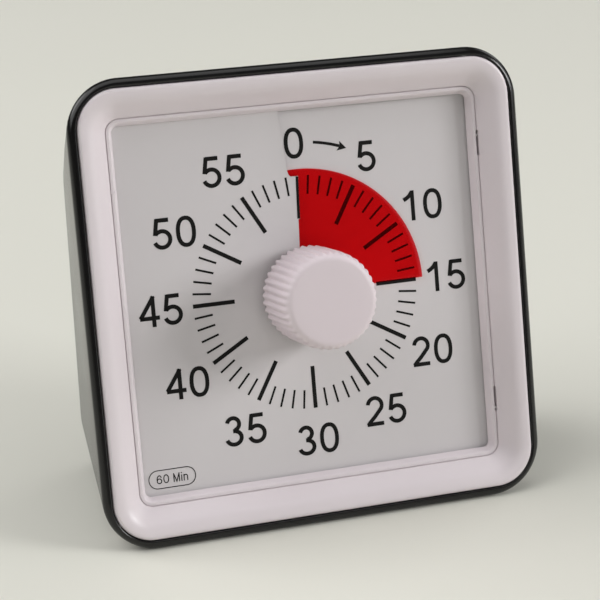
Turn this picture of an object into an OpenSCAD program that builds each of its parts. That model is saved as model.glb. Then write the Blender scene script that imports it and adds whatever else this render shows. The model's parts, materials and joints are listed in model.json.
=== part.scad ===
// Square desk timer: a knob winds a red film over a 60-minute dial.
// Most parts are drawn in the face frame: x to the right, y up the dial, z out of the dial.
// Parts on the upright back wall are drawn in the stand frame: x right, y to the back, z up.
// Both frames start where the knob's axis crosses the dial.

/* [Case] */
// Width and height of the case across its rounded front rim
case_w = 78.2; // [78:0.1:79]
// Radius of the rim's corners, seen from the front
corner_r = 9; // [7.5:0.1:11]
// Radius of the rim's rounded edge
bead_r = 1.4; // [1.3:0.1:1.6]
// Distance from the rim's edge centre forward to the dial
bead_z = 3.5; // [3.2:0.1:3.6]
// Lean of the dial back from upright, in degrees
lean = 16; // [12:1:18]
// Distance from the knob's axis at the dial to the back wall, measured level
back_reach = 20.5; // [20:0.1:24]
// Slope of the side and top walls, in degrees
draft = 5.7; // [5:0.1:6.5]
// Thickness of the case walls
wall = 2; // [1.6:0.1:2.2]
// Depth of the rounded edge round the back wall
back_edge_depth = 4; // [3:0.5:5]
// Width of that rounded edge, across the back wall
back_edge_width = 2.2; // [2:0.1:2.4]
// Radius of the back wall's upper corners
back_high_r = 16; // [14:0.5:17]
// Radius of the back wall's lower corners
back_low_r = 10; // [8:0.5:10.5]

/* [Dial] */
// Half of the window's width at the dial
window_half = 31.1; // [30.9:0.1:31.4]
// Half of the bezel's width where its dished face meets the window step
step_half = 32.3; // [32:0.1:32.6]
// Height of the window step over the dial
step_z = 1.9; // [1.6:0.1:2.2]
// Half of the dial sheet's width
sheet_half = 31.8; // [31.6:0.1:31.9]
// Thickness of the dial sheet
sheet_t = 0.2; // [0.15:0.05:0.25]
// Height of the dial sheet's one spiral turn, from one side of its slit to the other
sheet_rise = 0.6; // [0.5:0.05:0.7]
// Radius of the red film
film_r = 21.1; // [20:0.1:21.5]
// Thickness of the red film
film_t = 0.12; // [0.1:0.02:0.16]
// Height of the red film's one spiral turn
film_rise = 1; // [0.9:0.05:1.1]
// Minutes shown at rest
rest_minutes = 15; // [5:1:55]

/* [Knob] */
// Radius over the knob's ridges
knob_r = 8.3; // [7.5:0.1:9]
// Height of the knob's front face over the dial
knob_top = 14.5; // [14:0.5:18]
// Gap between the knob and the dial
knob_gap = 1.8; // [1.5:0.1:2.4]
// Number of ridges round the knob
knob_ridges = 40; // [30:1:48]
// Depth of the grooves between the ridges
ridge_depth = 0.4; // [0.3:0.05:0.6]
// Radius of the knob's rounded front edge
knob_edge_r = 1.2; // [1:0.1:2]
// Radius of the shaft that carries the knob
shaft_r = 2.5; // [2:0.1:2.8]

/* [Movement] */
// Half of the movement's width
move_half_x = 22; // [21.5:0.1:23]
// Lower edge of the movement under the shaft
move_low = -14.6; // [-14.6:0.1:-14]
// Upper edge of the movement over the shaft
move_high = 20; // [19.6:0.1:20.4]
// Thickness of the movement's walls
move_wall = 1; // [0.8:0.1:1.2]
// Tooth size of the output wheel: pitch diameter over tooth count
output_module = 0.3; // [0.28:0.01:0.3]
// Tooth size of the faster wheels
train_module = 0.2; // [0.19:0.01:0.2]
// Radial play of each turning shaft in its hole
play = 0.05; // [0.03:0.01:0.08]

/* [Battery and back] */
// Radius of the battery
cell_r = 7; // [6.8:0.05:7.1]
// Length of the battery's can, without its button
cell_len = 49.5; // [49:0.1:49.5]
// Width of the battery cover
cover_w = 57.5; // [57:0.5:59]
// Height of the battery cover
cover_h = 15.8; // [15.6:0.1:16]
// Thickness of the battery cover
cover_t = 1.1; // [0.9:0.1:1.2]

/* [Hidden] */
$fn = 48;

// Small overlap that makes cuts run cleanly past a face
cut = 0.5;
rim_half = case_w / 2;
corner_c = rim_half - corner_r;
mouth_half = rim_half - bead_r;
mouth_land = 0.1;
bezel_half = mouth_half - 2 * mouth_land;
ledge_z = -2;

// Height of the dial's centre over the surface that the case stands on
stand_h = rim_half * cos(lean) - bead_z * sin(lean);
// Reach of the knob's rounded edge to the front, measured level
knob_reach = (knob_top - knob_edge_r) * cos(lean) + (knob_r - ridge_depth - knob_edge_r) * sin(lean)
    + knob_edge_r;
// Shift that puts the origin under the middle of the whole object
depth_shift = (knob_reach - back_reach) / 2;

// Depth, in the face frame, of the upright back wall at a height y
function back_z(y, inset) = (y * sin(lean) - (back_reach - inset)) / cos(lean);

module stand_frame() {
    translate([0, depth_shift, stand_h]) children();
}

module face_frame() {
    stand_frame() rotate([90 - lean, 0, 0]) children();
}

// Stand frame seen from inside the face frame
module stand_in_face() {
    rotate([lean - 90, 0, 0]) children();
}

// ---- outlines and sweeps ----

// Square with round corners whose corner centres stay put as it grows
module rim_square(half) {
    r = half - corner_c;
    union() {
        square([2 * corner_c, 2 * half], center = true);
        square([2 * half, 2 * corner_c], center = true);
        for (x = [-1, 1], y = [-1, 1])
            translate([x * corner_c, y * corner_c]) circle(r);
    }
}

// Sweep of a section round the rim: its first coordinate is the distance from the middle
module rim_sweep(section) {
    inner = [for (p = section) [p[0] - corner_c, p[1]]];
    for (k = [0:3]) rotate([0, 0, 90 * k]) {
        translate([corner_c, corner_c, 0]) rotate_extrude(angle = 90) polygon(inner);
        translate([corner_c, corner_c, 0]) rotate([90, 0, 0])
            linear_extrude(2 * corner_c) polygon(inner);
    }
}

// ---- rear shell ----

corners = [[1, 1, 0], [-1, 1, 90], [-1, -1, 180], [1, -1, 270]];
corner_steps = 8;
edge_steps = 4;

// A ring's plane swings from the rim (s = 0) to the upright back wall (s = 1).
// inset moves the ring inwards, trim shrinks its outline and lift moves it forward.
function ring_z(s, y, inset, lift) = (1 - s) * bead_z + s * back_z(y, inset) + lift;
function ring_low(s, inset, lift) =
    let (level = (1 - s) * bead_z - s * (back_reach - inset) / cos(lean) + lift)
    -(stand_h - inset + sin(lean) * level) / (cos(lean) + s * sin(lean) * tan(lean));
function ring_half(z, inset) = rim_half - inset - tan(draft) * (bead_z - z);
function ring_points(s, inset, trim, lift) =
    let (low = ring_low(s, inset, lift) + trim,
         high = ring_half(ring_z(s, rim_half, inset, lift), inset) - trim)
    [for (corner = corners, k = [0:corner_steps])
        let (a = corner[2] + 90 * k / corner_steps,
             back_r = corner[1] > 0 ? back_high_r : back_low_r,
             r = corner_r + s * (back_r - corner_r) - 0.8 * inset - 0.6 * trim,
             y = (corner[1] > 0 ? high - r : low + r) + r * sin(a),
             z = ring_z(s, y, inset, lift))
        [corner[0] * (ring_half(z, inset) - trim - r) + r * cos(a), y, z]];

// Ring of the rim's rounded front edge
function bead_points(half, z) =
    let (r = half - corner_c)
    [for (corner = corners, k = [0:corner_steps])
        let (a = corner[2] + 90 * k / corner_steps)
        [corner[0] * corner_c + r * cos(a), corner[1] * corner_c + r * sin(a), z]];

// Rings of the rounded edge round the back wall
function back_edge_rings(inset, width, depth) =
    [for (k = [0:edge_steps])
        let (a = 90 * k / edge_steps)
        ring_points(1, inset, width * (1 - cos(a)), depth * (1 - sin(a)))];

// Solid through a stack of rings, front to back, that all have the same number of points
module ring_stack(rings) {
    n = len(rings[0]);
    last = len(rings) - 1;
    front = [for (i = [n - 1:-1:0]) i];
    back = [for (i = [0:n - 1]) last * n + i];
    sides = [for (k = [0:last - 1], i = [0:n - 1])
        let (j = (i + 1) % n)
        each [[k * n + i, k * n + j, (k + 1) * n + j], [k * n + i, (k + 1) * n + j, (k + 1) * n + i]]];
    polyhedron([for (ring = rings) each ring], concat([front, back], sides));
}

module shell_outside() {
    bead = [for (a = [90:-22.5:22.5]) bead_points(mouth_half + bead_r * cos(a), bead_z + bead_r * sin(a))];
    walls = [for (s = [0, 0.45]) ring_points(s, 0, 0, 0)];
    ring_stack(concat(bead, walls, back_edge_rings(0, back_edge_width, back_edge_depth)));
}

module shell_inside() {
    walls = [for (s = [0, 0.45]) ring_points(s, wall, 0, 0)];
    ring_stack(concat(walls, back_edge_rings(wall, 1, 2)));
}

// Places in the stand frame: battery, buzzer and sound switch
cell_y = 10.9;
cell_z = -26.6;
trough_r = cell_r + 0.4;
trough_wall = 1.2;
trough_half = 27.6;
cover_z = cell_z;
cover_recess = cover_t + 0.1;
cover_clear = 0.25;
buzzer_x = 16;
back_part_z = -8;
buzzer_r = 6.5;
buzzer_h = 3.6;
switch_x = -16;
switch_w = 8.6;
switch_h = 4.4;
switch_t = 3.4;
slider_travel = 2;
slider_h = 2.6;
sound_ring_r = 3.4;
sound_hole_r = 0.7;
wire_hole_y = -19.8;
wire_hole_z = -13.75;
battery_wire_r = 0.4;
back_inner = back_reach - wall;

// Case screws, in the face frame
screw_x = 30.5;
screw_high = 27;
screw_low = -9;
screw_r = 1;
screw_head_r = 1.9;
screw_head_h = 1.3;
case_boss_z = -6;
well_floor_z = -9.5;
case_screw_places = [for (x = [-screw_x, screw_x], y = [screw_low, screw_high]) [x, y]];

// Depths of the dial plate, in the face frame
plate_half = 33.3;
plate_front = -0.45;
plate_floor = -1.4;
plate_back = -3.4;
plate_recess_r = film_r + 1;

module round_box(w, h, t, r) {
    linear_extrude(t) union() {
        square([w - 2 * r, h], center = true);
        square([w, h - 2 * r], center = true);
        for (x = [-1, 1], y = [-1, 1])
            translate([x * (w / 2 - r), y * (h / 2 - r)]) circle(r);
    }
}

// Trough round the battery and back to the cover, along x in the stand frame
module trough(r, half) {
    translate([-half, cell_y, cell_z]) rotate([0, 90, 0]) cylinder(r = r, h = 2 * half);
    translate([-half, cell_y, cell_z - r]) cube([2 * half, back_reach - wall / 2 - cell_y, 2 * r]);
}

module case_posts() {
    for (p = case_screw_places)
        translate([p[0], p[1], -30]) cylinder(r = 2.9, h = 30 + case_boss_z);
}

module case_screw_wells() {
    for (p = case_screw_places) {
        translate([p[0], p[1], -40]) cylinder(r = screw_head_r + 0.25, h = 40 + well_floor_z);
        translate([p[0], p[1], well_floor_z - cut]) cylinder(r = screw_r + 0.2, h = 10);
    }
}

module rear_case() color("#131313") face_frame() difference() {
    union() {
        difference() {
            shell_outside();
            shell_inside();
        }
        intersection() {
            shell_outside();
            union() {
                case_posts();
                stand_in_face() trough(trough_r + trough_wall, trough_half + trough_wall);
            }
        }
    }
    translate([0, 0, ledge_z]) linear_extrude(20) rim_square(mouth_half - mouth_land);
    case_screw_wells();
    // Holes for the battery's wires through the trough's ends
    for (side = [-1, 1])
        translate([side * (trough_half + trough_wall / 2), wire_hole_y, wire_hole_z]) rotate([0, 90, 0])
            cylinder(r = 2 * battery_wire_r, h = trough_wall + 2 * cut, center = true);
    stand_in_face() {
        trough(trough_r, trough_half);
        // Opening for the cover, and its recess in the back wall
        translate([0, back_reach - wall - cut, cover_z]) rotate([-90, 0, 0]) mirror([0, 1, 0])
            round_box(cover_w - 2, 2 * cell_r + 0.3, wall + 2 * cut, 1);
        translate([0, back_reach - cover_recess, cover_z]) rotate([-90, 0, 0])
            round_box(cover_w + 2 * cover_clear, cover_h + 2 * cover_clear, cover_recess + cut, 2);
        // Slot for the sound slider
        translate([switch_x, back_reach - wall / 2, back_part_z])
            cube([2 * slider_travel + 4, wall + 2 * cut, 3], center = true);
        // Sound holes
        for (p = [[0, 0], for (a = [0:60:300]) sound_ring_r * [cos(a), sin(a)]])
            translate([buzzer_x + p[0], back_inner - cut, back_part_z + p[1]])
                rotate([-90, 0, 0]) cylinder(r = sound_hole_r, h = wall + 2 * cut);
    }
}

// ---- front ----

clip_y = 22.5;
clip_w = 4.4;
clip_x = 32.5;
clip_t = 0.7;
clip_top = 0.8;
clip_room = 0.3;
left_clip_y = 20.6;
left_clip_w = 1.8;
pocket_top = 1.5;
slot_w = 0.42;

// The bezel's face slopes up from the window step, then rounds over to a level crest
face_slope = 44;
slope_half = 34.5;
crest_half = 36.9;
crest_r = (crest_half - slope_half) / sin(face_slope);
crest_z = step_z + (slope_half - step_half) * tan(face_slope) + crest_r * (1 - cos(face_slope));
// Lower edge of the window's wall, and the skirts under the bezel's face
window_z = 0.42;
skirt_t = 1.2;
inner_skirt = bezel_half - 2.5;

module front_bezel() color("#e8dcdf") face_frame() difference() {
    rim_sweep(concat([[window_half, window_z], [window_half + 0.6, step_z - 0.2],
        [window_half + 0.75, step_z], [step_half, step_z]],
        [for (a = [face_slope:-face_slope / 4:0])
            [crest_half - crest_r * sin(a), crest_z - crest_r * (1 - cos(a))]],
        [[bezel_half - 0.2, crest_z - 0.1], [bezel_half, crest_z - 0.4], [bezel_half, ledge_z],
        [bezel_half - skirt_t, ledge_z], [bezel_half - skirt_t, 2.4], [inner_skirt, 1.6],
        [inner_skirt, ledge_z], [inner_skirt - skirt_t, ledge_z], [inner_skirt - skirt_t, window_z]]));
    // Pockets for the dial plate's clips, and the slots over the two on the right
    for (y = [-clip_y, clip_y]) {
        translate([clip_x - clip_room, y - clip_w / 2, 0])
            cube([clip_t + 2 * clip_room, clip_w, pocket_top]);
        translate([step_half - slot_w / 4, y - clip_w / 2, 0]) cube([slot_w, clip_w, crest_z]);
    }
    translate([-clip_x - clip_t - clip_room, left_clip_y - left_clip_w / 2, 0])
        cube([clip_t + 2 * clip_room, left_clip_w, pocket_top]);
}

// Height of the middle of the dial sheet and of the film, at an angle clockwise from 0 minutes
function sheet_height(a) = sheet_rise * (a / 360 - 0.5);
function film_height(a) = film_rise * a / 360;

// Distance from the middle to the edge of a square, in a direction
function square_reach(a, half) = half / max(abs(sin(a)), abs(cos(a)));

// Spiral sheet over the angles from first to last, clockwise, between two radii.
// Each row holds [angle, inner radius, outer radius, height of its middle].
module spiral_sheet(rows, t) {
    n = len(rows) - 1;
    points = [for (row = rows, r = [row[1], row[2]], side = [-0.5, 0.5])
        [r * sin(row[0]), r * cos(row[0]), row[3] + side * t]];
    // Corners of a row: 0 inner back, 1 inner front, 2 outer back, 3 outer front
    strips = [for (k = [0:n - 1]) let (a = 4 * k, b = 4 * k + 4) each [
        [a + 1, a + 3, b + 3], [a + 1, b + 3, b + 1],
        [a, b, b + 2], [a, b + 2, a + 2],
        [a + 2, b + 2, b + 3], [a + 2, b + 3, a + 3],
        [a, a + 1, b + 1], [a, b + 1, b]]];
    ends = [[0, 2, 3, 1], [4 * n, 4 * n + 1, 4 * n + 3, 4 * n + 2]];
    polyhedron(points, [for (f = concat(strips, ends)) [for (i = [len(f) - 1:-1:0]) f[i]]]);
}

// Hole in the dial sheet for the film's collar, and half of the sheet's slit in degrees
hub_hole_r = 4.6;
slit_gap = 0.5;
// Collar that carries the film along the shaft
hub_outer_r = 3.8;
hub_low = -0.98;
hub_len = 1.5;

module dial_sheet() color("#dddada") face_frame() {
    angles = [slit_gap, for (a = [5:5:355]) a, 360 - slit_gap];
    spiral_sheet([for (a = angles) [a, hub_hole_r, square_reach(a, sheet_half), sheet_height(a)]], sheet_t);
}

module red_film() color("#c8141a") face_frame() {
    lead = rest_minutes * 6;
    spiral_sheet([for (a = [lead:-6:lead - 354]) [a, hub_outer_r - 0.1, film_r, film_height(a)]], film_t);
}

module film_hub() color("#d8d2c8") face_frame() difference() {
    translate([0, 0, hub_low]) cylinder(r = hub_outer_r, h = hub_len);
    translate([0, 0, hub_low - cut]) cylinder(r = shaft_r + play, h = hub_len + 2 * cut);
}

// Screw with its head at the back: the head's front face is at z = 0
module screw(r, len, head_r, head_h) {
    cylinder(r = r, h = len);
    difference() {
        translate([0, 0, -head_h]) cylinder(r = head_r, h = head_h);
        for (a = [0, 90]) rotate([0, 0, a])
            translate([0, 0, -head_h]) cube([head_r * 1.2, 0.4, head_h], center = true);
    }
}

move_ears = [for (x = [-23.6, 23.6], y = [-10, 15]) [x, y]];
ear_r = 2.4;
move_screw_r = 0.8;
board_posts = [[-21, -24], [21, -24]];
board_post_z = -5;
bushing_r = 4.2;

module dial_plate() color("#e6e4e2") face_frame() difference() {
    union() {
        translate([0, 0, plate_back]) linear_extrude(plate_front - plate_back) rim_square(plate_half);
        for (p = case_screw_places)
            translate([p[0], p[1], case_boss_z]) cylinder(r = 2.6, h = plate_back - case_boss_z + cut);
        for (p = board_posts)
            translate([p[0], p[1], board_post_z]) cylinder(r = 2.2, h = plate_back - board_post_z + cut);
        // Clips that snap into the bezel
        for (y = [-clip_y, clip_y])
            translate([clip_x, y - clip_w / 2 + clip_room, plate_front - cut])
                cube([clip_t, clip_w - 2 * clip_room, clip_top + cut - plate_front]);
        translate([-clip_x - clip_t, left_clip_y - left_clip_w / 2 + clip_room, plate_front - cut])
            cube([clip_t, left_clip_w - 2 * clip_room, clip_top + cut - plate_front]);
    }
    translate([0, 0, plate_floor]) cylinder(r = plate_recess_r, h = 5);
    translate([0, 0, -5]) cylinder(r = bushing_r + play, h = 10);
    for (p = case_screw_places)
        translate([p[0], p[1], case_boss_z - cut]) cylinder(r = screw_r, h = 4.5 + cut);
    for (p = move_ears)
        translate([p[0], p[1], plate_back - cut]) cylinder(r = move_screw_r, h = 2 + cut);
    for (p = board_posts)
        translate([p[0], p[1], board_post_z - cut]) cylinder(r = move_screw_r, h = 3 + cut);
}

module case_screws() color("#b9bcc0") face_frame()
    for (p = case_screw_places)
        translate([p[0], p[1], well_floor_z]) screw(screw_r, 7.5, screw_head_r, screw_head_h);

// ---- knob and what turns with it ----

module ridge_outline() {
    turn = 360 / knob_ridges;
    foot_r = knob_r - ridge_depth;
    polygon([for (k = [0:knob_ridges - 1]) each [
        for (q = [[-0.42, foot_r], [-0.2, knob_r], [0.2, knob_r], [0.42, foot_r]])
            q[1] * [cos((k + q[0]) * turn), sin((k + q[0]) * turn)]]]);
}

shaft_flat = shaft_r - 0.6;
shaft_top = 12;
knob_skin = 1.6;

// D-shaped bar: a round bar with one flat side
module d_bar(h) difference() {
    cylinder(r = shaft_r, h = h);
    translate([shaft_flat, -5, -cut]) cube([5, 10, h + 2 * cut]);
}

module knob() color("#e9dde0") face_frame() difference() {
    crown_z = knob_top - knob_edge_r;
    crown_r = knob_r - ridge_depth;
    union() {
        translate([0, 0, knob_gap]) linear_extrude(crown_z - knob_gap) ridge_outline();
        translate([0, 0, crown_z]) {
            cylinder(r = crown_r - knob_edge_r, h = knob_edge_r);
            rotate_extrude() intersection() {
                translate([crown_r - knob_edge_r, 0]) circle(knob_edge_r);
                square(20);
            }
        }
    }
    translate([0, 0, knob_gap - cut]) difference() {
        cylinder(r = knob_r - ridge_depth - knob_skin, h = knob_top - 2 - knob_gap + cut);
        cylinder(r = shaft_r + 1.5, h = 20);
    }
    translate([0, 0, knob_gap - cut]) d_bar(shaft_top - knob_gap + cut);
}

flange_z = -6;
flange_t = 0.8;
cam_z = -9.8;
cam_t = 0.8;
cam_seat_r = 1.8;
pivot_r = 1;

module knob_shaft() color("#c9c4bb") face_frame() {
    translate([0, 0, knob_gap]) d_bar(shaft_top - knob_gap);
    translate([0, 0, flange_z]) cylinder(r = shaft_r, h = knob_gap - flange_z);
    translate([0, 0, flange_z - flange_t]) cylinder(r = 4.2, h = flange_t);
    translate([0, 0, cam_z]) cylinder(r = cam_seat_r, h = flange_z - flange_t - cam_z);
    translate([0, 0, -12.4]) cylinder(r = pivot_r, h = 12.4 + cam_z);
}

wheel_z = -5.95;
wheel_t = 0.75;

module clutch_spring() color("#c8a24a") face_frame() {
    z = wheel_z + wheel_t + 0.05;
    difference() {
        translate([0, 0, z]) linear_extrude(0.2) union() {
            circle(4.2);
            for (a = [0, 120, 240]) rotate(a) translate([0, -0.9]) square([7, 1.8]);
        }
        translate([0, 0, z - cut]) cylinder(r = shaft_r, h = 2 * cut + 0.2);
    }
}

lobe_r = 5.8;

module alarm_cam() color("#d9d4ca") face_frame() difference() {
    union() {
        translate([0, 0, cam_z]) cylinder(r = 4.6, h = cam_t);
        // The lobe points down when the knob stands at 0 minutes
        rotate([0, 0, -90 - rest_minutes * 6])
            translate([lobe_r - 1.2, 0, cam_z]) cylinder(r = 1.2, h = cam_t);
    }
    translate([0, 0, cam_z - cut]) cylinder(r = cam_seat_r, h = cam_t + 2 * cut);
}

// ---- gear train ----

// Where each wheel turns: direction from the shaft in degrees, and distance
ring_r = 12.8;
third_a = 35;
third_r = 85 / 2 * output_module;
// Angle at the shaft between two axles that lie at two distances and gear_gap apart
function turn_between(r1, r2, gear_gap) = acos((r1 * r1 + r2 * r2 - gear_gap * gear_gap) / (2 * r1 * r2));
seconds_a = third_a + turn_between(third_r, ring_r, 90 / 2 * train_module);
middle_a = seconds_a + turn_between(ring_r, ring_r, 70 / 2 * train_module);
rotor_a = middle_a + turn_between(ring_r, ring_r, 60 / 2 * train_module);
function polar(r, a) = [r * cos(a), r * sin(a)];
third_at = polar(third_r, third_a);
seconds_at = polar(ring_r, seconds_a);
middle_at = polar(ring_r, middle_a);
rotor_at = polar(ring_r, rotor_a);
function direction(from, to) = atan2(to[1] - from[1], to[0] - from[0]);

arbor_r = 0.45;
arbor_front = -3.9;
arbor_back = -12.5;
gear_t = 0.6;
pinion_teeth = 10;

// Back faces of the wheels and pinions: each wheel lies level with the pinion that it meshes with
third_wheel_z = -7.8;
third_pinion_z = -6.4;
seconds_wheel_z = -9.2;
seconds_pinion_z = -8.2;
middle_wheel_z = -7.8;
middle_pinion_z = -9.5;
rotor_pinion_z = -8.2;
magnet_z = -10.6;
magnet_h = 2;

// Half-angle of a tooth at radius r, for teeth cut at 20 degrees with a little backlash
pressure = 20;
backlash = 0.14;
function involute(a) = tan(a) * 180 / PI - a;
function tooth_half(n, pitch_r, r) =
    let (base_r = pitch_r * cos(pressure))
    90 / n * (1 - backlash) + involute(pressure) - (r > base_r ? involute(acos(base_r / r)) : 0);

// Gear outline with one tooth centred on the direction first
module gear_outline(n, size, first, addendum) {
    pitch_r = n * size / 2;
    radii = [pitch_r - 1.15 * size, pitch_r - 0.3 * size, pitch_r + addendum * size];
    polygon([for (k = [0:n - 1]) let (c = first + 360 * k / n) each concat(
        [for (r = radii) polar(r, c - tooth_half(n, pitch_r, r))],
        [for (i = [2:-1:0]) polar(radii[i], c + tooth_half(n, pitch_r, radii[i]))])]);
}

// Wheel and pinion on one arbor. The wheel has a tooth towards wheel_to, and the pinion a gap
// towards pinion_to.
module geared_arbor(at, teeth, size, wheel_to, wheel_back, pinion_size, pinion_to, pinion_back, pinion_len) {
    translate([at[0], at[1], wheel_back]) linear_extrude(gear_t) difference() {
        gear_outline(teeth, size, direction(at, wheel_to), 0.8);
        for (a = [0:90:270]) rotate(a) translate([teeth * size * 0.28, 0]) circle(teeth * size * 0.1);
    }
    translate([at[0], at[1], pinion_back]) linear_extrude(pinion_len)
        gear_outline(pinion_teeth, pinion_size, direction(at, pinion_to) + 180 / pinion_teeth, 0.9);
    translate([at[0], at[1], arbor_back]) cylinder(r = arbor_r, h = arbor_front - arbor_back);
}

module output_wheel() color("#e3dccb") face_frame() difference() {
    translate([0, 0, wheel_z]) linear_extrude(wheel_t)
        gear_outline(75, output_module, third_a, 0.8);
    translate([0, 0, wheel_z - cut]) cylinder(r = shaft_r + play, h = wheel_t + 2 * cut);
    for (a = [20:60:320]) rotate([0, 0, a])
        translate([7.8, 0, wheel_z - cut]) cylinder(r = 1.4, h = wheel_t + 2 * cut);
}

module third_wheel() color("#e8e2d2") face_frame()
    geared_arbor(third_at, 80, train_module, seconds_at, third_wheel_z,
        output_module, [0, 0], third_pinion_z, 1.6);

module seconds_wheel() color("#efe9da") face_frame()
    geared_arbor(seconds_at, 60, train_module, middle_at, seconds_wheel_z,
        train_module, third_at, seconds_pinion_z, 1.4);

module intermediate_wheel() color("#e3dccb") face_frame()
    geared_arbor(middle_at, 50, train_module, rotor_at, middle_wheel_z,
        train_module, seconds_at, middle_pinion_z, 1.2);

magnet_r = 2;

module rotor() color("#f0ece0") face_frame() translate([rotor_at[0], rotor_at[1], 0]) {
    translate([0, 0, rotor_pinion_z]) linear_extrude(1.4)
        gear_outline(pinion_teeth, train_module, direction(rotor_at, middle_at) + 180 / pinion_teeth, 0.9);
    translate([0, 0, arbor_back]) cylinder(r = arbor_r, h = arbor_front - arbor_back);
}

module rotor_magnet() color("#4a4a4e") face_frame()
    translate([rotor_at[0], rotor_at[1], magnet_z]) difference() {
        cylinder(r = magnet_r, h = magnet_h);
        translate([0, 0, -cut]) cylinder(r = arbor_r, h = magnet_h + 2 * cut);
    }

// ---- motor ----

coil_x = -16.5;
coil_z = -9;
coil_low = -10.5;
coil_high = 1.5;
bobbin_r = 1.5;
cheek_r = 2.6;
cheek_t = 0.6;
stator_z = -10;

module stator() color("#8f9296") face_frame() difference() {
    translate([0, 0, stator_z]) linear_extrude(0.6) union() {
        translate(rotor_at) circle(4);
        translate([-18.2, 8]) square([5.6, 3]);
        translate([-18.2, 3]) square([3.4, 8]);
        translate([-13.2, -13.4]) square([1.6, 20.8]);
        translate([-18.2, -13.4]) square([6.6, 2.2]);
    }
    translate([rotor_at[0], rotor_at[1], stator_z - cut]) cylinder(r = magnet_r + 0.35, h = 2);
}

module coil_bobbin() color("#dfe3d2") face_frame()
    translate([coil_x, coil_low, coil_z]) rotate([-90, 0, 0]) difference() {
        union() {
            cylinder(r = bobbin_r, h = coil_high - coil_low);
            for (z = [0, coil_high - coil_low - cheek_t])
                translate([0, 0, z]) cylinder(r = cheek_r, h = cheek_t);
        }
        translate([-1.05, -0.45, -cut]) cube([2.1, 0.9, 20]);
    }

module coil_winding() color("#b4632f") face_frame()
    translate([coil_x, coil_low + cheek_t, coil_z]) rotate([-90, 0, 0]) difference() {
        cylinder(r = cheek_r - 0.25, h = coil_high - coil_low - 2 * cheek_t);
        translate([0, 0, -cut]) cylinder(r = bobbin_r, h = 20);
    }

module coil_core() color("#9a9ca0") face_frame()
    translate([coil_x - 1, -13.2, stator_z + 0.6]) cube([2, 18.2, 0.8]);

// ---- movement case ----

arbors = [third_at, seconds_at, middle_at, rotor_at];
base_z = -4.4;
cover_back = -12.8;

module ears(z, t)
    for (p = move_ears) translate([p[0], p[1], z]) cylinder(r = ear_r, h = t);

module ear_holes(r)
    for (p = move_ears) translate([p[0], p[1], -20]) cylinder(r = r, h = 30);

module move_block(z, t, inset)
    translate([-move_half_x + inset, move_low + inset, z])
        cube([2 * (move_half_x - inset), move_high - move_low - 2 * inset, t]);

module movement_base() color("#d6d8d2") face_frame() difference() {
    union() {
        move_block(base_z, plate_back - base_z, 0);
        ears(base_z, plate_back - base_z);
        translate([0, 0, base_z]) cylinder(r = bushing_r, h = plate_floor - 0.05 - base_z);
    }
    ear_holes(move_screw_r + 0.1);
    translate([0, 0, -6]) cylinder(r = shaft_r + play, h = 8);
    for (p = arbors) translate([p[0], p[1], base_z - cut]) cylinder(r = arbor_r + play, h = 0.6 + cut);
}

module movement_cover() color("#d6d8d2") face_frame() difference() {
    union() {
        move_block(cover_back, base_z - cover_back, 0);
        ears(base_z - 2, 2);
    }
    move_block(cover_back + move_wall, 20, move_wall);
    ear_holes(move_screw_r + 0.1);
    translate([0, 0, cover_back - cut]) cylinder(r = pivot_r + play, h = 3);
    for (p = arbors)
        translate([p[0], p[1], arbor_back - 0.1]) cylinder(r = arbor_r + play, h = 3);
    // Notch for the coil's wires
    translate([-14, move_low - cut, -6.2]) cube([4, 2, 5]);
}

module movement_screws() color("#c2a45c") face_frame()
    for (p = move_ears) translate([p[0], p[1], base_z - 2]) screw(move_screw_r, 4.6, 1.6, 1);

module alarm_contact() color("#caa052") face_frame() {
    translate([-7, -6.1, -10.4]) cube([16.6, 0.2, 1.4]);
    translate([9.5, -7.2, cover_back + move_wall]) cube([3, 2.4, 3.2]);
}

// ---- electronics ----

board_t = 1;

module circuit_board() color("#3f7d3a") face_frame() difference() {
    translate([-24, -31, board_post_z - board_t]) cube([48, 14, board_t]);
    for (p = board_posts) translate([p[0], p[1], -10]) cylinder(r = move_screw_r + 0.1, h = 10);
}

module board_screws() color("#b9bcc0") face_frame()
    for (p = board_posts)
        translate([p[0], p[1], board_post_z - board_t]) screw(move_screw_r, 3.6, 1.6, 1);

module control_chip() color("#1a1a1a") face_frame() intersection() {
    translate([3, -24, board_post_z - board_t + 2.6]) sphere(r = 4.4);
    translate([-7, -34, board_post_z - board_t - 3]) cube([20, 20, 3]);
}

module quartz_crystal() color("#c9ccd0") face_frame()
    translate([-9, -27, board_post_z - board_t - 1.05]) rotate([0, 90, 0]) cylinder(r = 1.05, h = 6.2);

module buzzer() color("#222222") stand_frame()
    translate([buzzer_x, back_inner - buzzer_h, back_part_z]) rotate([-90, 0, 0]) difference() {
        cylinder(r = buzzer_r, h = buzzer_h);
        translate([0, 0, buzzer_h - 1]) cylinder(r = 5, h = 1 + cut);
    }

module switch_body() color("#b7babf") stand_frame()
    translate([switch_x, back_inner - switch_t, back_part_z]) difference() {
        translate([-switch_w / 2 - 0.8, 0, -switch_h / 2]) cube([switch_w + 1.6, switch_t, switch_h]);
        translate([-slider_travel - 2, 1.4, -1.5]) cube([2 * slider_travel + 4, 5, 3]);
    }

slider_w = 3.8;
slider_sink = 0.25;
slider_start = 1.5;

module sound_slider() color("#d7d9da") stand_frame() difference() {
    depth = switch_t + wall - slider_start - slider_sink;
    front = back_inner - switch_t + slider_start;
    left = switch_x - slider_w / 2;
    low = back_part_z - slider_h / 2;
    translate([left, front, low]) cube([slider_w, depth, slider_h]);
    // Grip grooves across its end
    for (k = [0:3])
        translate([left + 0.55 + 0.8 * k, front + depth - 0.3, low - cut])
            cube([0.4, 1, slider_h + 2 * cut]);
}

// ---- battery ----

cell_end = 26.3;
cell_start = cell_end - cell_len;
contact_t = 0.4;

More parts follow.
